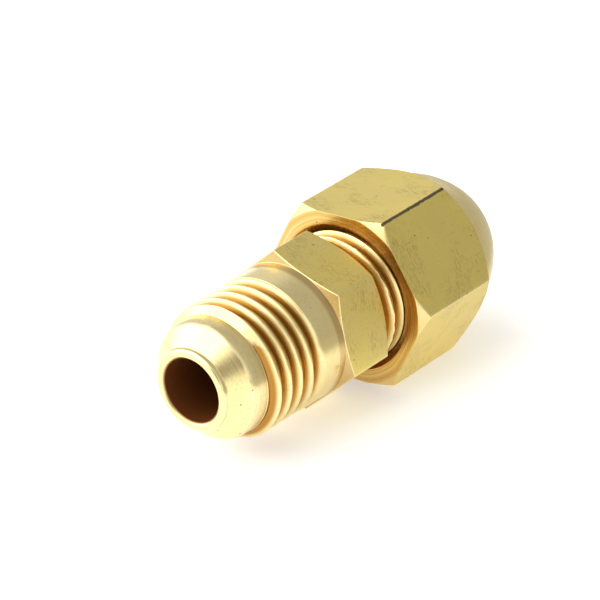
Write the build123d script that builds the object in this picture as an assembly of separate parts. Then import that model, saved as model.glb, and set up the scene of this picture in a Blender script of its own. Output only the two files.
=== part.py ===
from build123d import *
import os
from math import ceil, cos, radians, sin, tan

# A brass flare union with one flare nut run part of the way onto it, and the thin
# copper gasket that lies between the nut's seat and the union's nose.
# Millimetres. +X runs along the bore from the free nose towards the nut, +Z is up,
# and the origin is the centre of the bore at the free nose's tip.

# Thread: 7/16-20 UNF, right-handed, on both ends of the union and in the nut.
thread_major_r = 5.555
thread_pitch = 25.4 / 20
thread_depth = 0.685
nut_thread_depth = 0.555
flank_angle = 30.0
crest_flat = thread_pitch / 8
thread_clearance = 0.10
cutter_overrun = 0.06
thread_phase = 47.0

# Union: bore, noses, threaded lengths, and the hexagon between them.
union_length = 27.3
union_bore_r = 2.6
bore_mouth_break = 0.2
lip_wall = 0.75
lip_length = 0.45
lip_break = 0.2
nose_blend = 0.25
lead_end = 3.3
lead_chamfer = 0.45
below_root = 0.03
free_thread_end = 8.85
free_groove_end = 8.65
band_step = 0.055
band_end = 10.9
collar_step = 0.10
union_hex_start = 11.65
union_hex_front_chamfer = 0.3
union_hex_end = 16.55
union_hex_back_chamfer = 0.5
union_hex_stand = 0.04
union_hex_angle = 21.4
neck_end = 17.4

# Nut: hexagon, tapered shoulder behind it, threaded mouth, seat and tube hole.
nut_wall = 1.345
nut_hex_length = 8.25
face_beyond_flats = 0.3
front_chamfer = 0.65
back_chamfer_angle = 42.0
shoulder_step = 0.4
shoulder_length = 3.55
shoulder_bulge = 0.25
shoulder_wall = 1.5
end_break = 0.3
mouth_clearance = 0.495
seat_start = 7.9
seat_to_relief = 0.2
relief_length = 1.0
relief_depth = 0.15
tube_hole_r = 3.25
tube_hole_break = 0.25
seat_gap = 1.35

# Gasket: a 45 degree copper cone of even thickness, held a hair off the nut's seat.
gasket_thickness = 0.6
gasket_gap = 0.08
gasket_lip_clearance = 0.25
gasket_edge_clearance = 0.4

# Worked out from the values above.
thread_root_r = thread_major_r - thread_depth
lead_r = thread_root_r - below_root
lip_r = union_bore_r + lip_wall
band_r = thread_major_r + band_step
collar_r = band_r + collar_step
nut_thread_r = thread_major_r - nut_thread_depth
nut_groove_r = thread_major_r + thread_clearance
union_hex_flats = 2 * (collar_r + union_hex_stand)
nut_flats = 2 * (nut_groove_r + nut_wall)
mouth_r = nut_groove_r + mouth_clearance
shoulder_root_r = nut_flats / 2 - shoulder_step
shoulder_end_r = tube_hole_r + shoulder_wall
nut_front = union_length - lip_length + lip_r + seat_gap - seat_start - nut_thread_r
nut_corner_r = nut_flats / 2 / cos(radians(30))
back_chamfer_length = (nut_corner_r - shoulder_root_r) / tan(radians(back_chamfer_angle))
shoulder_start = nut_front + nut_hex_length + back_chamfer_length
nut_end = shoulder_start + shoulder_length + end_break


def corner_r(flats):
    """Radius to a hexagon's corners, from its width across the flats."""
    return flats / 2 / cos(radians(30))


def turned(outline):
    """Solid of revolution about X, from the half outline's (x, radius) points."""
    return revolve(make_face(Polyline(*outline, close=True)), Axis.X, 360)


def hexagon(flats, start, end, corner_angle):
    """Hexagonal bar along X, one corner at the given angle from +Y towards +Z."""
    section = Plane.YZ.offset(start) * Rot(0, 0, corner_angle) * RegularPolygon(corner_r(flats), 6)
    return extrude(section, end - start)


def tooth_width(radius):
    """Axial width of the union's thread tooth at a radius."""
    return crest_flat + 2 * (thread_major_r - radius) * tan(radians(flank_angle))


def groove_section(inner_r, outer_r, inner_width, outer_width):
    """The four corners of a groove's section, as (radius, distance along the axis)."""
    return [
        (inner_r, -inner_width / 2),
        (outer_r, -outer_width / 2),
        (outer_r, outer_width / 2),
        (inner_r, inner_width / 2),
    ]


def helical_cutter(section, turns):
    """Part of a turn about Z, up to one: ruled faces between its section's corner helices."""
    height = thread_pitch * turns
    edges = [Pos(0, 0, z) * Edge.make_helix(thread_pitch, height, r) for r, z in section]
    sides = [Face.make_surface_from_curves(edges[i], edges[(i + 1) % 4]) for i in range(4)]
    caps = [Face(Wire.make_polygon([edge @ end for edge in edges], close=True)) for end in (0, 1)]
    return Solid(Shell(sides + caps))


def cut_thread(blank, section, start, end, helix_offset=0.0):
    """Cut a helical groove turn by turn, the last turn only as far as its centre reaches end.

    Every groove with the same helix_offset lies on one helix through the whole fitting.
    """
    first = ceil((start - helix_offset) / thread_pitch)
    turns = (end - helix_offset) / thread_pitch - first
    for index in range(ceil(turns)):
        cutter = helical_cutter(section, min(1.0, turns - index))
        x = helix_offset + (first + index) * thread_pitch
        blank -= Pos(x, 0, 0) * Rot(thread_phase, 0, 0) * Rot(0, 90, 0) * cutter
    return blank


def end_outline(thread_end):
    """(x, radius) points of a threaded end, from its bore mouth to the end of its thread."""
    cone_end = lip_length + lead_r - lip_r
    blend = nose_blend * cos(radians(45))
    return [
        (0, union_bore_r + bore_mouth_break),
        (0, lip_r - lip_break),
        (lip_break, lip_r),
        (lip_length, lip_r),
        (cone_end - blend, lead_r - blend),
        (cone_end + nose_blend, lead_r),
        (lead_end, lead_r),
        (lead_end + lead_chamfer, thread_major_r),
        (thread_end, thread_major_r),
    ]


def union_blank():
    """The union before its threads and hexagon: everything that is turned or bored."""
    free_end = end_outline(free_thread_end)
    nut_side = [(union_length - x, r) for x, r in end_outline(union_length - neck_end)]
    middle = [
        (free_thread_end, band_r),
        (band_end, band_r),
        (union_hex_start, collar_r),
        (union_hex_end, collar_r),
        (union_hex_end, lead_r),
        (neck_end, lead_r),
    ]
    bore = [
        (union_length - bore_mouth_break, union_bore_r),
        (bore_mouth_break, union_bore_r),
    ]
    return turned(free_end + middle + nut_side[::-1] + bore)


def union_hexagon():
    """The union's hexagon, its corners chamfered at both ends, bored through."""
    corner = corner_r(union_hex_flats)
    flat_r = union_hex_flats / 2
    envelope = turned(
        [
            (union_hex_start, union_bore_r),
            (union_hex_start, flat_r),
            (union_hex_start + union_hex_front_chamfer, corner),
            (union_hex_end - union_hex_back_chamfer, corner),
            (union_hex_end, flat_r),
            (union_hex_end, union_bore_r),
        ]
    )
    return hexagon(union_hex_flats, union_hex_start, union_hex_end, union_hex_angle) & envelope


def union_body():
    """Flare union: a bored body with a threaded end each way and a hexagon between."""
    outer_r = thread_major_r + cutter_overrun
    section = groove_section(
        thread_root_r,
        outer_r,
        thread_pitch - tooth_width(thread_root_r),
        thread_pitch - tooth_width(outer_r),
    )
    body = cut_thread(union_blank(), section, lead_end - thread_pitch, free_groove_end)
    body = cut_thread(body, section, neck_end - thread_pitch, union_length - lead_end + thread_pitch / 2)
    return body + union_hexagon()


def nut_outside():
    """The nut's outside: hexagon with chamfered corners, then the tapered shoulder."""
    back = nut_front + nut_hex_length
    shoulder_stop = shoulder_start + shoulder_length
    middle = (
        shoulder_start + shoulder_length / 2,
        (shoulder_root_r + shoulder_end_r) / 2 + shoulder_bulge,
    )
    profile = [
        Polyline(
            (nut_end, 0),
            (nut_front, 0),
            (nut_front, nut_flats / 2 + face_beyond_flats),
            (nut_front + front_chamfer, nut_corner_r),
            (back, nut_corner_r),
            (shoulder_start, shoulder_root_r),
        ),
        ThreePointArc(
            (shoulder_start, shoulder_root_r), middle, (shoulder_stop, shoulder_end_r)
        ),
        Polyline(
            (shoulder_stop, shoulder_end_r),
            (nut_end, shoulder_end_r - end_break),
            (nut_end, 0),
        ),
    ]
    envelope = revolve(make_face(Curve() + profile), Axis.X, 360)
    return hexagon(nut_flats, nut_front, nut_end, 0) & envelope


def nut_inside():
    """The space inside the nut: countersunk mouth, bore, relief, seat and tube hole."""
    bore_start = nut_front + mouth_r - nut_thread_r
    seat_end = nut_front + seat_start + nut_thread_r - tube_hole_r
    relief_r = nut_groove_r + relief_depth
    relief_end = nut_front + seat_start - seat_to_relief
    relief_start = relief_end - relief_length
    return turned(
        [
            (nut_front, 0),
            (nut_front, mouth_r),
            (bore_start, nut_thread_r),
            (relief_start, nut_thread_r),
            (relief_start, relief_r),
            (relief_end, relief_r),
            (relief_end, nut_thread_r),
            (nut_front + seat_start, nut_thread_r),
            (seat_end, tube_hole_r),
            (nut_end - tube_hole_break, tube_hole_r),
            (nut_end, tube_hole_r + tube_hole_break),
            (nut_end, 0),
        ]
    )


def flare_nut():
    """Flare nut, its thread on the same helix as the union's and clear of it all round."""
    widening = 2 * thread_clearance * tan(radians(flank_angle))
    inner_r = nut_thread_r - cutter_overrun
    section = groove_section(
        inner_r,
        nut_groove_r,
        tooth_width(inner_r) + widening,
        tooth_width(nut_groove_r) + widening,
    )
    nut = nut_outside() - nut_inside()
    relief_middle = nut_front + seat_start - seat_to_relief - relief_length / 2
    return cut_thread(nut, section, nut_front - thread_pitch, relief_middle, thread_pitch / 2)


def flare_gasket():
    """Copper cone washer, parallel to the nut's seat and a small gap in front of it."""
    seat_tip = nut_front + seat_start + nut_thread_r
    back_tip = seat_tip - gasket_gap / sin(radians(45))
    front_tip = back_tip - gasket_thickness / sin(radians(45))
    inner_r = lip_r + gasket_lip_clearance
    outer_r = nut_thread_r - gasket_edge_clearance
    front_r = outer_r - gasket_thickness * sin(radians(45))
    return turned(
        [
            (back_tip - inner_r, inner_r),
            (back_tip - outer_r, outer_r),
            (front_tip - front_r, front_r),
            (front_tip - inner_r, inner_r),
        ]
    )


os.makedirs("parts", exist_ok=True)
for name, piece in {
    "union_body": union_body(),
    "flare_nut": flare_nut(),
    "flare_gasket": flare_gasket(),
}.items():
    export_step(piece, f"parts/{name}.step")
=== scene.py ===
import math

import bpy
import numpy as np
from mathutils import Matrix, Vector


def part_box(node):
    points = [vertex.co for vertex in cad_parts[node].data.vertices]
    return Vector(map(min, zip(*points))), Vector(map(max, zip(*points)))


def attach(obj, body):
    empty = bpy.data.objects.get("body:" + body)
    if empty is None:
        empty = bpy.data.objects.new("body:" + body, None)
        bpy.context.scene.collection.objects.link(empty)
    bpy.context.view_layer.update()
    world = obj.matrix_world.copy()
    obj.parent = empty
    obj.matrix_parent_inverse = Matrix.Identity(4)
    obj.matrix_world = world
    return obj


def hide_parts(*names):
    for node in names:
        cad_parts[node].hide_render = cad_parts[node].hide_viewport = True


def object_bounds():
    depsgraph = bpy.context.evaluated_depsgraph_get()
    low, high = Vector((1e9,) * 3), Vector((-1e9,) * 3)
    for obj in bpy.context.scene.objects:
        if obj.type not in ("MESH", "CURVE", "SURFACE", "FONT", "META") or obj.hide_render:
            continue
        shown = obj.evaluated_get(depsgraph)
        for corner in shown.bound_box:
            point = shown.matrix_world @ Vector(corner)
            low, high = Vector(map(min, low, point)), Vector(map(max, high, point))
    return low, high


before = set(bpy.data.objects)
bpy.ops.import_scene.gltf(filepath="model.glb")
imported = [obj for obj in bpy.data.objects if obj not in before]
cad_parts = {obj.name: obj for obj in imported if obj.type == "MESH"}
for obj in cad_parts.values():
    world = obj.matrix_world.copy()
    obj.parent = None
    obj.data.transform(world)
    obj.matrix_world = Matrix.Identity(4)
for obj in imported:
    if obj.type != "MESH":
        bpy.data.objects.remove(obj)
cad_low, cad_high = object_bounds()

# Sizes are millimetres until a mesh is made. The bore runs along X.
MM = 0.001

# Thread, the same one on both ends of the union and in the nut.
PITCH = 1.27
MAJOR_R = 5.555
ROOT_R = 4.87
CREST_FLAT = PITCH / 8
FLANK = math.tan(math.radians(30))
HELIX_LEAD_ANGLE = math.radians(43)
GROOVE_END = 8.65
GROOVE_FADE = 0.22
CREST_EDGE = 0.02

# Places along the axis that the frame gives.
UNION_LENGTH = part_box("union_body")[1].x / MM
NUT_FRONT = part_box("flare_nut")[0].x / MM
NUT_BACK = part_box("flare_nut")[1].x / MM
NUT_FLAT_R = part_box("flare_nut")[1].z / MM

# Union profile.
BORE_R = 2.6
BORE_BREAK = 0.2
LIP_R = 3.35
LIP_BREAK = 0.2
LIP_END = 0.45
LEAD_R = 4.84
LEAD_END = 3.3
LEAD_CHAMFER = 0.45
NOSE_BLEND = 0.25
THREAD_END = 8.85
RUN_OUT_MIDDLE = 9.0
RUN_OUT_REACH = 0.4
BAND_R = 5.61
BAND_END = 10.9
COLLAR_R = 5.71
UNION_FLAT_R = 5.75
UNION_CORNER_ANGLE = math.radians(21.4)
UNION_CORNER_BREAK = 0.08
UNION_CUT_BLEND = 0.05
UNION_CREST_BLEND = 0.03
HEX_START = 11.65
HEX_FRONT_CHAMFER = 0.3
HEX_BACK_CHAMFER = 0.5
NECK_START = 16.55
NECK_END = 17.4
BURR_AT = 17.9
BURR_LENGTH = 0.3
BURR_HEIGHT = 0.05

# Nut profile.
MOUTH_R = 6.15
NUT_BORE_R = 5.0
NUT_GROOVE_R = 5.655
TUBE_R = 3.25
TUBE_BREAK = 0.25
NUT_CORNER_BREAK = 0.16
NUT_CUT_BLEND = 0.06
NUT_CREST_BLEND = 0.05
NUT_FACE_R = 7.3
NUT_FRONT_CHAMFER = 0.65
NUT_BACK_SLOPE = math.tan(math.radians(42))
NUT_HEX_BACK = NUT_FRONT + 8.25
RELIEF_START = NUT_FRONT + 6.7
RELIEF_END = NUT_FRONT + 7.7
RELIEF_R = 5.8
SEAT_START = NUT_FRONT + 7.9
SHOULDER_ROOT_R = 6.6
SHOULDER_END_R = 4.75
SHOULDER_LENGTH = 3.55
SHOULDER_POINTS = 7
END_BREAK = 0.3

# Gasket.
GASKET_THICKNESS = 0.6
GASKET_LIP_CLEARANCE = 0.25
GASKET_COLUMNS = 144

# A chamfer is drawn this far past a hexagon's corners, and the hexagon then cuts it back.
PAST_CORNER = 0.1

# Zones of an outline, and how finely the skins are divided.
PLAIN, HEX, THREAD, BORE = 0.0, 1.0, 2.0, 3.0
COLUMNS_PER_FLAT = 30
ARC_POINTS = 4
THREAD_STEP = 0.045

# Marker line on the nut.
INK_ANGLE = math.radians(120)
INK_R = 8.0
INK_HALF_WIDTH = 0.5

# How strongly a darker tone shows, 0 to 1: nut's front ring and chamfers, union hexagon's front.
RING_DARK_TONE = 0.37
CHAMFER_DARK_TONE = 0.25
FRONT_DARK_TONE = 0.34


def smooth_min(a, b, width):
    """Smaller of two values, blended by a parabola where they differ by less than width.

    Also gives the share of the first value, 0 to 1."""
    share = np.clip(0.5 + 0.5 * (b - a) / width, 0.0, 1.0)
    return b + (a - b) * share - width * share * (1.0 - share), share


def ripple(angle, seed, waves):
    """Repeatable unevenness round the axis: a sum of sines of one height with random starts,
    mostly within -1.5 to 1.5."""
    source = np.random.default_rng(seed)
    total = np.zeros_like(angle)
    for count in waves:
        total += np.sin(count * angle + source.uniform(0, math.tau)) / len(waves) ** 0.5
    return total


def outline(corners):
    """Closed outline with rounded corners, as rows of (x, radius, zone, edge).

    Each corner is (x, radius, rounding, spacing to the next corner, zone). It becomes a parabola
    tangent to its two sides, and each side gets points at its spacing. Edge is 1 at the middle of
    a corner that stands out from the metal."""
    table = np.array(corners, float)
    points, rounding, spacing, zone = table[:, :2], table[:, 2], table[:, 3], table[:, 4]
    to_next = np.roll(points, -1, 0) - points
    side = np.hypot(*to_next.T)
    out = to_next / side[:, None]
    into = -np.roll(out, 1, 0)
    half = 0.5 * np.arccos(np.clip((into * out).sum(1), -0.9999, 0.9999))
    reach = np.minimum(rounding / np.tan(half), 0.45 * np.minimum(side, np.roll(side, 1)))
    convex = into[:, 0] * out[:, 1] - into[:, 1] * out[:, 0] > 0
    t = np.linspace(0.0, 1.0, ARC_POINTS)[:, None]
    rows = []
    for i, corner in enumerate(points):
        start, end = corner + into[i] * reach[i], corner + out[i] * reach[i]
        bend = (1 - t) ** 2 * start + 2 * t * (1 - t) * corner + t**2 * end
        rows.append(np.hstack([bend, np.full_like(t, zone[i]), convex[i] * 4 * t * (1 - t)]))
        j = (i + 1) % len(points)
        goal = points[j] - out[i] * reach[j]
        pieces = max(1, math.ceil(np.hypot(*(goal - end)) / spacing[i]))
        share = np.linspace(0, 1, pieces + 1)[1:-1, None]
        plain = np.zeros_like(share)
        rows.append(np.hstack([end + (goal - end) * share, plain + zone[i], plain]))
    return np.vstack(rows).T


def columns(corner_angle):
    """Angles round the axis, closest together at the six corners of a hexagon."""
    share = np.linspace(-1, 1, COLUMNS_PER_FLAT + 1)[:-1]
    one_flat = math.radians(30) * np.sin(share * math.pi / 2)
    flats = corner_angle + math.radians(30) + np.arange(6) * math.radians(60)
    return (flats[:, None] + one_flat[None, :]).ravel()


def hexagon_radius(angle, corner_angle, flat_r, break_width):
    """Distance from the axis to a hexagon: flat_r over the cosine of the angle from a flat's
    middle, the smaller of the two nearest flats, blended at the corners."""
    turn = np.mod(angle - corner_angle, math.radians(60)) - math.radians(30)
    near = flat_r / np.cos(turn)
    far = flat_r / np.cos(math.radians(60) - np.abs(turn))
    radius, share = smooth_min(near, far, break_width)
    return radius, 4 * share * (1 - share)


def thread_distance(x, angle, offset):
    """Distance along X from the nearest turn of the fitting's helix, and that turn's own x."""
    turns = (angle + HELIX_LEAD_ANGLE) / math.tau
    along = x / PITCH - turns - offset
    nearest = np.round(along)
    return (along - nearest) * PITCH, (nearest + turns + offset) * PITCH


def skin(name, x, radius, angle, attributes):
    """Ring-shaped mesh from a grid: row by row along a closed outline, column by column round X.

    A point is (x, radius * cos(angle), radius * sin(angle)). Quads join each point to the next
    row and column, the last ones to the first, so the skin is closed. attributes holds one
    number per point for each finish mask."""
    rows, cols = radius.shape
    along = np.broadcast_to(x, radius.shape)
    place = np.stack([along, radius * np.cos(angle), radius * np.sin(angle)], -1)
    i, j = np.meshgrid(np.arange(rows), np.arange(cols), indexing="ij")
    i_next, j_next = (i + 1) % rows, (j + 1) % cols
    this_row, next_row = i * cols, i_next * cols
    quads = np.stack([this_row + j, this_row + j_next, next_row + j_next, next_row + j], -1)
    mesh = bpy.data.meshes.new(name)
    mesh.vertices.add(rows * cols)
    mesh.vertices.foreach_set("co", (place * MM).ravel())
    mesh.loops.add(rows * cols * 4)
    mesh.loops.foreach_set("vertex_index", quads.ravel())
    mesh.polygons.add(rows * cols)
    mesh.polygons.foreach_set("loop_start", np.arange(rows * cols) * 4)
    mesh.update(calc_edges=True)
    mesh.validate()
    mesh.polygons.foreach_set("use_smooth", np.ones(rows * cols, bool))
    for key, values in attributes.items():
        layer = mesh.attributes.new(key, "FLOAT", "POINT")
        values = np.broadcast_to(values, radius.shape).astype(np.float32)
        layer.data.foreach_set("value", values.ravel())
    piece = bpy.data.objects.new(name, mesh)
    bpy.context.scene.collection.objects.link(piece)
    return piece


def nose_corners():
    """Corners of one threaded end's outline, from its bore mouth to the start of its thread."""
    cone_end = LIP_END + LEAD_R - LIP_R
    blend = NOSE_BLEND * math.cos(math.radians(45))
    return [
        (0.0, BORE_R + BORE_BREAK, 0.12, 0.12, PLAIN),
        (0.0, LIP_R - LIP_BREAK, 0.3, 0.1, PLAIN),
        (LIP_BREAK, LIP_R, 0.5, 0.1, PLAIN),
        (LIP_END, LIP_R, 1.2, 0.12, PLAIN),
        (cone_end - blend, LEAD_R - blend, 1.0, 0.1, PLAIN),
        (cone_end + NOSE_BLEND, LEAD_R, 1.0, 0.1, PLAIN),
        (LEAD_END, LEAD_R, 0.1, 0.06, THREAD),
        (LEAD_END + LEAD_CHAMFER, MAJOR_R, 0.05, THREAD_STEP, THREAD),
    ]


def union_corners():
    """Corners of the union's outline, from the free nose's mouth along the outside and back
    through the bore."""
    flat = UNION_FLAT_R
    corner = flat / math.cos(math.radians(30))
    outer = corner + PAST_CORNER
    beyond = PAST_CORNER / (corner - flat)
    chamfer_start = HEX_START + HEX_FRONT_CHAMFER * (1 + beyond)
    chamfer_end = NECK_START - HEX_BACK_CHAMFER * (1 + beyond)
    nut_side = [
        (UNION_LENGTH - x, radius, rounding, 0.12, zone)
        for x, radius, rounding, _, zone in nose_corners()
    ]
    return [
        *nose_corners(),
        (THREAD_END - CREST_EDGE, MAJOR_R, 0.02, 0.05, THREAD),
        (THREAD_END, BAND_R, 0.03, 0.3, PLAIN),
        (BAND_END, BAND_R, 0.1, 0.1, PLAIN),
        (HEX_START - 0.03, COLLAR_R, 0.03, 0.04, HEX),
        (HEX_START, flat, 0.02, 0.06, HEX),
        (chamfer_start, outer, 0.02, 0.4, HEX),
        (chamfer_end, outer, 0.02, 0.06, HEX),
        (NECK_START, flat, 0.02, 0.2, HEX),
        (NECK_START, LEAD_R, 0.15, 0.2, PLAIN),
        (NECK_END, LEAD_R, 0.08, 0.07, THREAD),
        (NECK_END, MAJOR_R, 0.04, THREAD_STEP, THREAD),
        *nut_side[::-1],
        (UNION_LENGTH - BORE_BREAK, BORE_R, 0.1, 2.5, BORE),
        (BORE_BREAK, BORE_R, 0.1, 0.2, BORE),
    ]


def union_body():
    """The union's skin: its turned outline, cut by the hexagon and by the thread's groove."""
    x, turned, zone, edge = (row[:, None] for row in outline(union_corners()))
    angle = columns(UNION_CORNER_ANGLE)[None, :]
    hexagon, corner = hexagon_radius(angle, UNION_CORNER_ANGLE, UNION_FLAT_R, UNION_CORNER_BREAK)
    in_hex = zone == HEX
    radius, plain = smooth_min(turned, hexagon, UNION_CUT_BLEND)
    radius = np.where(in_hex, radius, turned)
    drawn = np.where(in_hex, 1 - plain, 0.0)
    rim = np.where(in_hex, np.maximum(4 * plain * (1 - plain), corner * (1 - plain)), edge)
    distance, turn_x = thread_distance(x, angle, 0.0)
    root_half = (PITCH - CREST_FLAT) / 2 - (MAJOR_R - ROOT_R) * FLANK
    groove = ROOT_R + np.maximum(np.abs(distance) - root_half, 0) / FLANK
    lift = np.clip((turn_x - GROOVE_END + GROOVE_FADE) / GROOVE_FADE, 0, 1) * (x < NECK_START)
    groove = groove + lift * (MAJOR_R - ROOT_R + 0.1)
    threaded, crest = smooth_min(turned, groove, UNION_CREST_BLEND)
    runs_out = (zone == PLAIN) & (np.abs(x - RUN_OUT_MIDDLE) < RUN_OUT_REACH)
    in_thread = (zone == THREAD) | runs_out
    radius = np.where(in_thread, threaded, radius)
    rim = np.where(in_thread, 4 * crest * (1 - crest), rim)
    # Painted shade: the further a point lies down a thread groove, the darker it is coloured.
    depth = np.clip((MAJOR_R - radius) / (MAJOR_R - ROOT_R), 0, 1)
    groove_shade_and_tone = np.where(in_thread, depth * (1 - crest), 0.0)
    outside = turned > BORE_R + 0.5
    # Painted shade: the neck between the hexagon and the thread is coloured fully dark.
    groove_shade_and_tone = np.where((x > NECK_START) & (x < NECK_END) & outside, 1.0, groove_shade_and_tone)
    past_band = np.clip((x - BAND_END + 0.1) / 0.3, 0, 1)
    front_face = past_band * (x < HEX_START + 0.35) * outside
    # Darker tone on the hexagon's front face, short of its drawn flats.
    groove_shade_and_tone = np.maximum(groove_shade_and_tone, FRONT_DARK_TONE * front_face * (1 - drawn))
    burr = np.exp(-(((x - BURR_AT) / BURR_LENGTH) ** 2)) * in_thread * crest
    ragged = np.clip(ripple(angle, 7, (11, 17, 29, 41)) + 0.4, 0, 2)
    radius = radius + BURR_HEIGHT * burr * ragged
    rim = np.maximum(rim, burr)
    # Painted shade: the bore is marked to be coloured dark red-brown.
    inside = np.where(zone == BORE, 1.0, 0.0)
    masks = {"drawn": drawn, "rim": rim, "groove_shade_and_tone": groove_shade_and_tone, "inside": inside}
    return skin("turned_union", x, radius, angle, masks)


def nut_corners():
    """Corners of the nut's outline, from its mouth along the outside and back through it."""
    corner = NUT_FLAT_R / math.cos(math.radians(30))
    outer = corner + PAST_CORNER
    beyond = PAST_CORNER / (corner - NUT_FACE_R)
    chamfer_start = NUT_FRONT + NUT_FRONT_CHAMFER * (1 + beyond)
    shoulder_start = NUT_HEX_BACK + (corner - SHOULDER_ROOT_R) / NUT_BACK_SLOPE
    drop = SHOULDER_ROOT_R - SHOULDER_END_R
    shoulder = []
    for t in np.linspace(0, 1, SHOULDER_POINTS):
        bulged = SHOULDER_ROOT_R - drop * t + t * (1 - t)
        shoulder.append((shoulder_start + SHOULDER_LENGTH * t, bulged, 0.3, 0.3, HEX))
    shoulder[0] = shoulder[0][:2] + (0.12, 0.25, HEX)
    return [
        (NUT_FRONT, MOUTH_R, 0.06, 0.08, HEX),
        (NUT_FRONT, NUT_FACE_R, 0.05, 0.05, HEX),
        (chamfer_start, outer, 0.02, 0.6, HEX),
        (NUT_HEX_BACK - PAST_CORNER / NUT_BACK_SLOPE, outer, 0.02, 0.06, HEX),
        *shoulder,
        (NUT_BACK, SHOULDER_END_R - END_BREAK, 0.1, 0.2, PLAIN),
        (NUT_BACK, TUBE_R + TUBE_BREAK, 0.06, 0.1, PLAIN),
        (NUT_BACK - TUBE_BREAK, TUBE_R, 0.06, 0.6, BORE),
        (SEAT_START + NUT_BORE_R - TUBE_R, TUBE_R, 0.08, 0.3, BORE),
        (SEAT_START, NUT_BORE_R, 0.08, 0.1, BORE),
        (RELIEF_END, NUT_BORE_R, 0.04, 0.15, BORE),
        (RELIEF_END, RELIEF_R, 0.06, 0.2, BORE),
        (RELIEF_START, RELIEF_R, 0.06, 0.15, BORE),
        (RELIEF_START, NUT_BORE_R, 0.04, THREAD_STEP, THREAD),
        (NUT_FRONT + MOUTH_R - NUT_BORE_R, NUT_BORE_R, 0.03, 0.06, THREAD),
    ]


def flare_nut():
    """The nut's skin: its turned outline cut by the hexagon outside and the thread inside.

    Points of the flat front ring keep their share of the way from the mouth to the ring's own
    edge, or to the hexagon where that is nearer."""
    x, turned, zone, edge = (row[:, None] for row in outline(nut_corners()))
    angle = columns(0.0)[None, :]
    hexagon, corner = hexagon_radius(angle, 0.0, NUT_FLAT_R, NUT_CORNER_BREAK)
    in_hex = zone == HEX
    radius, plain = smooth_min(turned, hexagon, NUT_CUT_BLEND)
    ring_edge, _ = smooth_min(NUT_FACE_R + 0 * angle, hexagon, NUT_CUT_BLEND)
    on_ring = in_hex & (x < NUT_FRONT + 1e-5) & (turned > MOUTH_R)
    share = (turned - MOUTH_R) / (NUT_FACE_R - MOUTH_R)
    radius = np.where(on_ring, MOUTH_R + share * (ring_edge - MOUTH_R), radius)
    plain = np.where(on_ring, 1.0, plain)
    radius = np.where(in_hex, radius, turned)
    drawn = np.where(in_hex, 1 - plain, 0.0)
    rim = np.where(in_hex, np.maximum(4 * plain * (1 - plain), corner * (1 - plain)), edge)
    distance, _ = thread_distance(x, angle, 0.5)
    crest_half = CREST_FLAT / 2 + (NUT_GROOVE_R - MAJOR_R) * FLANK
    groove = NUT_GROOVE_R - np.maximum(np.abs(distance) - crest_half, 0) / FLANK
    threaded, crest = smooth_min(-turned, -groove, NUT_CREST_BLEND)
    in_thread = zone == THREAD
    radius = np.where(in_thread, -threaded, radius)
    rim = np.where(in_thread, 4 * crest * (1 - crest), rim)
    # Painted shade: the nut's thread grooves are coloured darker the further they go out.
    depth = np.clip((radius - NUT_BORE_R) / (NUT_GROOVE_R - NUT_BORE_R), 0, 1)
    groove_shade_and_tone = np.where(in_thread, depth, 0.0)
    # Darker tone on the nut's front chamfer and ring, with tool rings on the ring.
    groove_shade_and_tone = np.where(in_hex & (x < NUT_FRONT + 1.0), CHAMFER_DARK_TONE * (1 - drawn), groove_shade_and_tone)
    tool_rings = 0.1 * ripple(share * 9, 3, (1, 2, 3, 5))
    groove_shade_and_tone = np.where(on_ring, RING_DARK_TONE + tool_rings, groove_shade_and_tone)
    # Painted shade inside the nut, growing over 0.8 mm from just past its mouth.
    into_mouth = np.clip((x - NUT_FRONT - 0.2) / 0.8, 0, 1)
    inside = np.where((zone == BORE) | in_thread, 1.0, 0.0) * into_mouth
    ink = ink_line(x, angle) * in_hex
    masks = {"drawn": drawn, "rim": rim, "groove_shade_and_tone": groove_shade_and_tone, "inside": inside, "ink": ink}
    return skin("hex_flare_nut", x, radius, angle, masks)


def ink_line(x, angle):
    """Nearness to the marker line down one corner of the nut, 1 on it and 0 from INK_HALF_WIDTH
    away, fading out at both ends of the hexagon."""
    off = np.abs(np.mod(angle - INK_ANGLE + math.pi, math.tau) - math.pi) * INK_R
    front = np.clip((x - NUT_FRONT - 0.3) / 0.2, 0, 1)
    back = np.clip((NUT_HEX_BACK + 0.3 - x) / 0.3, 0, 1)
    return np.clip(1 - off / INK_HALF_WIDTH, 0, 1) * (front * back)


def gasket():
    """The copper cone washer's skin: its four corners rounded."""
    low, high = (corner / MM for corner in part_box("flare_gasket"))
    outer = high.y
    skew = GASKET_THICKNESS * math.sin(math.radians(45))
    inner = LIP_R + GASKET_LIP_CLEARANCE
    corners = [
        (high.x - 2 * skew, inner, 0.06, 0.2, PLAIN),
        (low.x, outer - skew, 0.06, 0.2, PLAIN),
        (high.x - (outer - inner), outer, 0.06, 0.2, PLAIN),
        (high.x, inner, 0.06, 0.2, PLAIN),
    ]
    x, turned, _, edge = (row[:, None] for row in outline(corners))
    angle = np.linspace(0, math.tau, GASKET_COLUMNS, endpoint=False)[None, :]
    masks = {"drawn": 0.0, "rim": edge, "groove_shade_and_tone": 0.0, "inside": 0.0}
    return skin("copper_cone_gasket", x, turned + 0 * angle, angle, masks)


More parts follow.
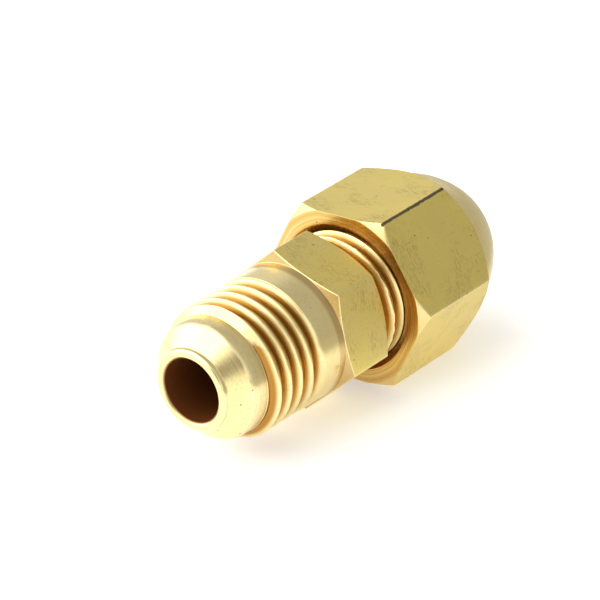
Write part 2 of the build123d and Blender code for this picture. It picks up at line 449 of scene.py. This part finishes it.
class Nodes:
    """Short way to add shader nodes to one tree and link them."""

    def __init__(self, tree):
        self.tree = tree

    def add(self, kind, operation=None, **inputs):
        """Adds a node of that kind. Inputs are given by name, or by i0, i1, ... for its sockets."""
        node = self.tree.nodes.new("ShaderNode" + kind)
        if operation:
            node.operation = operation
        for key, value in inputs.items():
            number = key[1:]
            name = int(number) if number.isdigit() else key.replace("_", " ")
            self.feed(node.inputs[name], value)
        return node

    def feed(self, socket, value):
        """Links a socket to another node's output, or sets it to a plain value."""
        if isinstance(value, bpy.types.NodeSocket):
            self.tree.links.new(value, socket)
        elif isinstance(value, bpy.types.Node):
            self.tree.links.new(value.outputs[0], socket)
        else:
            socket.default_value = value

    def math(self, operation, a, b=0.0, c=0.0):
        return self.add("Math", operation, i0=a, i1=b, i2=c).outputs[0]

    def plus(self, total, value, weight):
        """Total with a weighted value added to it."""
        return self.math("ADD", total, self.math("MULTIPLY", value, weight))

    def ramp(self, value, low, high, to_low=0.0, to_high=1.0):
        """Smooth step of a value between low and high."""
        limits = {"From_Min": low, "From_Max": high, "To_Min": to_low, "To_Max": to_high}
        node = self.add("MapRange", Value=value, **limits)
        node.interpolation_type = "SMOOTHSTEP"
        return node.outputs[0]

    def mix(self, share, a, b):
        """Colour mix: a where share is 0, b where it is 1."""
        node = self.tree.nodes.new("ShaderNodeMix")
        node.data_type = "RGBA"
        for socket, value in ((node.inputs[0], share), (node.inputs[6], a), (node.inputs[7], b)):
            self.feed(socket, value)
        return node.outputs[2]

    def noise(self, vector, scale, detail=2.0, roughness=0.5):
        """Noise with detail, about 0.5 in the middle."""
        node = self.add("TexNoise", Vector=vector, Scale=scale, Detail=detail, Roughness=roughness)
        return node.outputs["Fac"]


def group(name, inputs, outputs):
    """Empty shader group with named sockets, and its node maker, input node and output node."""
    tree = bpy.data.node_groups.new(name, "ShaderNodeTree")
    for direction, sockets in (("INPUT", inputs), ("OUTPUT", outputs)):
        for socket_name, kind, start in sockets:
            kind = "NodeSocket" + kind
            socket = tree.interface.new_socket(socket_name, in_out=direction, socket_type=kind)
            if start is not None:
                socket.default_value = start
    return tree, Nodes(tree), tree.nodes.new("NodeGroupInput"), tree.nodes.new("NodeGroupOutput")


def turned_marks_group():
    """Fine rings that a lathe tool leaves: noise of (x, radius), weaker in patches."""
    inputs = [("Place", "Vector", None), ("Rings", "Float", 9.0), ("Breaks", "Float", 0.35)]
    tree, n, source, sink = group("turned_marks", inputs, [("Height", "Float", None)])
    parts = n.add("SeparateXYZ", Vector=source.outputs["Place"])
    y_square, z_square = (n.math("POWER", parts.outputs[i], 2.0) for i in (1, 2))
    square = n.math("ADD", y_square, z_square)
    across = n.add("CombineXYZ", X=parts.outputs[0], Y=n.math("SQRT", square), Z=0.0)
    rings = n.noise(across.outputs[0], source.outputs["Rings"], 3.0, 0.65)
    patches = n.noise(source.outputs["Place"], 0.9, 2.0)
    weight = n.math("SUBTRACT", 1.0, n.math("MULTIPLY", patches, source.outputs["Breaks"]))
    n.feed(sink.inputs["Height"], n.math("MULTIPLY", rings, weight))
    return tree


def drawn_marks_group():
    """Straight lines that the drawing die leaves: noise stretched along the bar, with scratches."""
    inputs = [("Place", "Vector", None), ("Lines", "Float", 6.0), ("Stretch", "Float", 0.05)]
    outputs = [("Height", "Float", None), ("Scratch", "Float", None)]
    tree, n, source, sink = group("drawn_marks", inputs, outputs)
    parts = n.add("SeparateXYZ", Vector=source.outputs["Place"])
    along = n.math("MULTIPLY", parts.outputs[0], source.outputs["Stretch"])
    stretched = n.add("CombineXYZ", X=along, Y=parts.outputs[1], Z=parts.outputs[2]).outputs[0]
    n.feed(sink.inputs["Height"], n.noise(stretched, source.outputs["Lines"], 4.0, 0.7))
    fine = n.noise(stretched, 14.0, 2.0, 0.6)
    where = n.ramp(n.noise(source.outputs["Place"], 0.55, 2.0), 0.42, 0.65)
    n.feed(sink.inputs["Scratch"], n.math("MULTIPLY", n.ramp(fine, 0.62, 0.72), where))
    return tree


def cross_scratches_group():
    """Short fine scratches across the bar, in patches: noise stretched round it, where a broad
    noise is high."""
    inputs = [("Place", "Vector", None), ("Lines", "Float", 12.0), ("Patches", "Float", 0.33)]
    tree, n, source, sink = group("cross_scratches", inputs, [("Scratch", "Float", None)])
    round_bar = (1.0, 0.16, 0.16)
    short = n.add("VectorMath", "MULTIPLY", i0=source.outputs["Place"], i1=round_bar).outputs[0]
    fine = n.ramp(n.noise(short, source.outputs["Lines"], 3.0, 0.65), 0.5, 0.62)
    patch = n.ramp(n.noise(source.outputs["Place"], source.outputs["Patches"], 2.0), 0.46, 0.6)
    n.feed(sink.inputs["Scratch"], n.math("MULTIPLY", fine, patch))
    return tree


def pits_group():
    """Scattered small pits: the middles of a few cells of a Voronoi pattern."""
    inputs = [("Place", "Vector", None), ("Spread", "Float", 0.9), ("Size", "Float", 0.1)]
    tree, n, source, sink = group("pits", inputs, [("Pit", "Float", None)])
    cells = n.add("TexVoronoi", Vector=source.outputs["Place"], Scale=source.outputs["Spread"])
    chosen = n.ramp(n.add("SeparateXYZ", Vector=cells.outputs["Color"]).outputs[0], 0.45, 0.5)
    reach = n.math("MULTIPLY", source.outputs["Size"], source.outputs["Spread"])
    hole = n.ramp(n.math("DIVIDE", cells.outputs["Distance"], reach), 0.5, 1.0, 1.0, 0.0)
    n.feed(sink.inputs["Pit"], n.math("MULTIPLY", hole, chosen))
    return tree


def edge_wear_group():
    """Bright edges, partly scuffed by handling and partly a painted highlight along convex edges
    and
    thread crests: the rim mask broken up by noise, with small nicks beside it.
    """
    inputs = [("Place", "Vector", None), ("Rim", "Float", 0.0), ("Grain", "Float", 3.0)]
    tree, n, source, sink = group("edge_wear", inputs, [("Wear and highlight", "Float", None)])
    grain = n.noise(source.outputs["Place"], source.outputs["Grain"], 3.0, 0.6)
    broken = n.ramp(grain, 0.35, 0.6, 0.35, 1.0)
    beside = n.ramp(source.outputs["Rim"], 0.02, 0.3)
    nicks = n.ramp(n.noise(source.outputs["Place"], 5.0, 2.0), 0.6, 0.66)
    nicks = n.math("MULTIPLY", nicks, beside)
    # Painted highlight and scuffing: the rim mask lightens every convex edge it marks.
    bright_edge = n.math("MULTIPLY", source.outputs["Rim"], broken)
    n.feed(sink.inputs["Wear and highlight"], n.math("MAXIMUM", bright_edge, nicks))
    return tree


def tarnish_group():
    """Slow cloudy colour change of handled brass, and a fine speckle."""
    inputs = [("Place", "Vector", None), ("Patches", "Float", 0.25)]
    outputs = [("Cloud", "Float", None), ("Speckle", "Float", None)]
    tree, n, source, sink = group("tarnish", inputs, outputs)
    clouds = n.noise(source.outputs["Place"], source.outputs["Patches"], 4.0)
    n.feed(sink.inputs["Cloud"], n.ramp(clouds, 0.3, 0.7))
    n.feed(sink.inputs["Speckle"], n.noise(source.outputs["Place"], 7.0, 3.0, 0.6))
    return tree


MARKS = {
    make.__name__: make()
    for make in (
        turned_marks_group,
        drawn_marks_group,
        cross_scratches_group,
        pits_group,
        edge_wear_group,
        tarnish_group,
    )
}


SCRATCH_COLOUR = (0.42, 0.30, 0.08, 1.0)
PIT_COLOUR = (0.16, 0.09, 0.03, 1.0)
# Painted shade of the bores and the nut's inside.
INSIDE_SHADE_COLOUR = (0.21, 0.065, 0.014, 1.0)
INK_COLOUR = (0.040, 0.022, 0.010, 1.0)
MARK_HEIGHT = 0.006 * MM

# How far each mark tints the colour, changes the roughness, and stands out or cuts in.
TINT = {"cloud": 0.5, "wear_and_highlight": 0.55, "scratch": 0.55, "speckle": 0.35, "pit": 0.75, "ink": 0.95}
ROUGHEN = {"drawn": 0.08, "speckle": 0.16, "wear_and_highlight": -0.06, "inside": 0.15, "ink": 0.4}
HEIGHT = {"turned": 4.0, "drawn": 2.0, "pit": -2.5, "scratch": -1.2, "speckle": 0.6}


def use(n, name, **inputs):
    """Places a shared group in a material with this material's own values."""
    node = n.tree.nodes.new("ShaderNodeGroup")
    node.node_tree = MARKS[name + "_group"]
    for key, value in inputs.items():
        n.feed(node.inputs[key], value)
    return node.outputs


def metal(name, colours, roughness, has_ink=False):
    """Turned and drawn metal, told apart by the skin's masks.

    Colours are those of turned metal, drawn skin, cloudy patches, painted shade in thread grooves
    (also a darker tone on some flat faces, and speckles), and scuffed edges partly painted as
    highlights."""
    material = bpy.data.materials.new(name)
    material.use_nodes = True
    tree = material.node_tree
    n = Nodes(tree)
    shader = tree.nodes["Principled BSDF"]
    place = n.add("VectorMath", "SCALE", i0=n.add("TexCoord").outputs["Object"])
    place.inputs["Scale"].default_value = 1 / MM
    place = place.outputs[0]

    def mask(key):
        node = tree.nodes.new("ShaderNodeAttribute")
        node.attribute_name = key
        return node.outputs["Fac"]

    drawn, rim, groove_shade_and_tone, inside = (mask(key) for key in ("drawn", "rim", "groove_shade_and_tone", "inside"))
    rings = use(n, "turned_marks", Place=place)["Height"]
    lines = use(n, "drawn_marks", Place=place)
    pit = use(n, "pits", Place=place)["Pit"]
    wear_and_highlight = use(n, "edge_wear", Place=place, Rim=rim)["Wear and highlight"]
    cloud = use(n, "tarnish", Place=place)
    clean, skin_colour, cloudy, shade_and_dark_tone, worn_and_highlight = ((*colour, 1.0) for colour in colours)

    across = n.math("MULTIPLY", use(n, "cross_scratches", Place=place)["Scratch"], drawn)
    along = n.math("MULTIPLY", lines["Scratch"], drawn)
    scratched = n.math("MAXIMUM", along, across)
    specks = n.ramp(cloud["Speckle"], 0.58, 0.7)
    colour = n.mix(drawn, clean, skin_colour)
    colour = n.mix(n.math("MULTIPLY", cloud["Cloud"], TINT["cloud"]), colour, cloudy)
    # Painted shade in thread grooves and the neck, and a darker tone on some flat faces.
    colour = n.mix(n.ramp(groove_shade_and_tone, 0.05, 0.62), colour, shade_and_dark_tone)
    # Painted highlight and scuffing: convex edges and thread crests are lightened.
    colour = n.mix(n.math("MULTIPLY", wear_and_highlight, TINT["wear_and_highlight"]), colour, worn_and_highlight)
    colour = n.mix(n.math("MULTIPLY", scratched, TINT["scratch"]), colour, SCRATCH_COLOUR)
    colour = n.mix(n.math("MULTIPLY", specks, TINT["speckle"]), colour, shade_and_dark_tone)
    colour = n.mix(n.math("MULTIPLY", pit, TINT["pit"]), colour, PIT_COLOUR)
    # Painted shade: the bores and the nut's inside take the dark colour.
    colour = n.mix(inside, colour, INSIDE_SHADE_COLOUR)

    rough = n.plus(roughness, drawn, ROUGHEN["drawn"])
    rough = n.plus(rough, n.math("SUBTRACT", cloud["Speckle"], 0.5), ROUGHEN["speckle"])
    rough = n.plus(rough, wear_and_highlight, ROUGHEN["wear_and_highlight"])
    rough = n.plus(rough, inside, ROUGHEN["inside"])

    turned_part = n.math("MULTIPLY", rings, n.math("SUBTRACT", 1.0, drawn))
    drawn_part = n.math("MULTIPLY", lines["Height"], drawn)
    height = n.math("MULTIPLY", turned_part, HEIGHT["turned"])
    height = n.plus(height, drawn_part, HEIGHT["drawn"])
    height = n.plus(height, pit, HEIGHT["pit"])
    height = n.plus(height, scratched, HEIGHT["scratch"])
    height = n.plus(height, cloud["Speckle"], HEIGHT["speckle"])
    metallic = n.plus(1.0, inside, -0.5)
    if has_ink:
        ragged = n.math("SUBTRACT", n.noise(place, 3.0, 4.0, 0.7), 0.5)
        ink = n.ramp(n.plus(mask("ink"), ragged, 0.45), 0.62, 0.82)
        colour = n.mix(n.math("MULTIPLY", ink, TINT["ink"]), colour, INK_COLOUR)
        rough = n.plus(rough, ink, ROUGHEN["ink"])
        metallic = n.plus(metallic, ink, -0.8)
    bump = n.add("Bump", Strength=0.6, Distance=MARK_HEIGHT, Height=height)
    n.feed(shader.inputs["Base Color"], colour)
    n.feed(shader.inputs["Roughness"], rough)
    n.feed(shader.inputs["Normal"], bump.outputs[0])
    n.feed(shader.inputs["Metallic"], metallic)
    return material


def union_brass():
    colours = (
        (0.93, 0.78, 0.40),
        (0.88, 0.71, 0.21),
        (0.84, 0.69, 0.29),
        (0.42, 0.21, 0.04),
        (0.97, 0.85, 0.52),
    )
    return metal("bright_turned_brass", colours, 0.24)


def nut_brass():
    colours = (
        (0.92, 0.77, 0.40),
        (0.88, 0.71, 0.20),
        (0.80, 0.64, 0.21),
        (0.64, 0.34, 0.06),
        (0.97, 0.85, 0.52),
    )
    return metal("drawn_hex_brass", colours, 0.24, has_ink=True)


def soft_copper():
    colours = (
        (0.86, 0.50, 0.33),
        (0.84, 0.48, 0.31),
        (0.78, 0.42, 0.27),
        (0.55, 0.25, 0.13),
        (0.95, 0.64, 0.48),
    )
    return metal("annealed_copper", colours, 0.28)


FLOOR_HALF = 3.0
PAPER = (0.93, 0.93, 0.93, 1)
# Colour of the paper as the metal reflects it on the far right side: a painted reflection.
PAPER_PAINTED_DARK_REFLECTION = (0.50, 0.48, 0.44, 1)
PAPER_GLOW = 0.35
DIM_FROM, DIM_TO = 0.034, 0.056


def pale_floor():
    """Plain pale sheet under the fitting, wide enough to fill the view. Seen in the metal's
    reflections it is painted darker on one side (a painted reflection), and it glows a little:
    painted light that keeps it white and the fitting's shadow on it faint."""
    signs = ((-1, -1), (1, -1), (1, 1), (-1, 1))
    corners = [(FLOOR_HALF * x, FLOOR_HALF * y, cad_low.z) for x, y in signs]
    mesh = bpy.data.meshes.new("floor")
    mesh.from_pydata(corners, [], [(0, 1, 2, 3)])
    floor = bpy.data.objects.new("floor", mesh)
    bpy.context.scene.collection.objects.link(floor)
    paper = bpy.data.materials.new("white_paper")
    paper.use_nodes = True
    shader = paper.node_tree.nodes["Principled BSDF"]
    n = Nodes(paper.node_tree)
    mirrored = n.add("LightPath").outputs["Is Glossy Ray"]
    place = n.add("SeparateXYZ", Vector=n.add("TexCoord").outputs["Object"])
    far_right = n.math("SUBTRACT", place.outputs[0], place.outputs[1])
    # Painted reflection: only glossy rays see the far right side of the paper darker.
    painted_dark_reflection = n.math("MULTIPLY", mirrored, n.ramp(far_right, DIM_FROM, DIM_TO))
    n.feed(shader.inputs["Base Color"], n.mix(painted_dark_reflection, PAPER, PAPER_PAINTED_DARK_REFLECTION))
    # Painted light: the paper glows though it is no lamp, which keeps it white and the fitting's
    # shadow faint; the darkened reflection gets no glow.
    n.feed(shader.inputs["Emission Color"], n.mix(painted_dark_reflection, (1, 1, 1, 1), (0, 0, 0, 1)))
    shader.inputs["Emission Strength"].default_value = PAPER_GLOW
    shader.inputs["Roughness"].default_value = 0.9
    shader.inputs["Specular IOR Level"].default_value = 0.1
    mesh.materials.append(paper)


CAMERA_PLACE = Vector((-184.97, -168.97, 125.88)) * MM
CAMERA_LOOKS = Vector((0.68755, 0.58552, -0.42946)).normalized()
CAMERA_ROLL = math.radians(4.52)
CAMERA_LENS = 225.6
CAMERA_SENSOR = 36.0
FAR_SIDE = Vector((0.85, -0.30, 0.40))
FAR_LEFT = Vector((0.69, 0.62, 0.38))
TENT_WHITE = (1.25, 1.24, 1.22, 1)
TENT_GREY = (0.52, 0.51, 0.49, 1)
TENT_PALE = (0.80, 0.79, 0.77, 1)
TENT_DARK = (0.30, 0.28, 0.24, 1)


def light_tent():
    """World: a white tent, grey on the far side, a paler panel at the far left, and a dark
    opening round the camera's place."""
    world = bpy.data.worlds.new("light_tent")
    bpy.context.scene.world = world
    world.use_nodes = True
    n = Nodes(world.node_tree)
    direction = n.add("TexCoord").outputs["Generated"]

    def lobe(way, start, full):
        """How much a direction faces this way: 0 up to start, 1 from full, as cosines."""
        way = tuple(way.normalized())
        facing = n.add("VectorMath", "DOT_PRODUCT", i0=direction, i1=way).outputs["Value"]
        return n.ramp(facing, start, full)

    colour = n.mix(lobe(FAR_SIDE, -0.25, 0.6), TENT_WHITE, TENT_GREY)
    colour = n.mix(lobe(FAR_LEFT, 0.80, 0.97), colour, TENT_PALE)
    colour = n.mix(lobe(-CAMERA_LOOKS, 0.93, 0.985), colour, TENT_DARK)
    background = world.node_tree.nodes["Background"]
    n.feed(background.inputs["Color"], colour)
    background.inputs["Strength"].default_value = 1.0


def softbox(name, place, size, power):
    """Square area light aimed at the middle of the fitting."""
    data = bpy.data.lights.new(name, "AREA")
    data.size, data.energy = size, power
    lamp = bpy.data.objects.new(name, data)
    lamp.location = place
    middle = (cad_low + cad_high) / 2
    lamp.rotation_euler = (middle - Vector(place)).to_track_quat("-Z", "Y").to_euler()
    bpy.context.scene.collection.objects.link(lamp)


def camera():
    """Long lens from the free nose's side, above the bore, rolled a little."""
    data = bpy.data.cameras.new("camera")
    data.lens, data.sensor_width = CAMERA_LENS, CAMERA_SENSOR
    data.clip_start, data.clip_end = 0.01, 20.0
    shot = bpy.data.objects.new("camera", data)
    looking = CAMERA_LOOKS.to_track_quat("-Z", "Y").to_matrix()
    turn = looking @ Matrix.Rotation(-CAMERA_ROLL, 3, "Z")
    shot.matrix_world = Matrix.Translation(CAMERA_PLACE) @ turn.to_4x4()
    bpy.context.scene.collection.objects.link(shot)
    bpy.context.scene.camera = shot


def place(piece, material, body, node, slot):
    """Gives a skin its material and body, and puts it in the CAD node's place."""
    piece.data.materials.append(material)
    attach(piece, body)
    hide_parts(node)


place(union_body(), union_brass(), "union", "union_body", "union_brass")
place(flare_nut(), nut_brass(), "nut", "flare_nut", "nut_brass")
place(gasket(), soft_copper(), "gasket", "flare_gasket", "soft_copper")
pale_floor()
light_tent()
softbox("key_softbox", (-0.35, 0.25, 0.55), 0.9, 3.0)
softbox("left_softbox", (-0.15, 0.6, 0.3), 0.5, 1.0)
camera()
bpy.context.scene.view_settings.view_transform = "Standard"
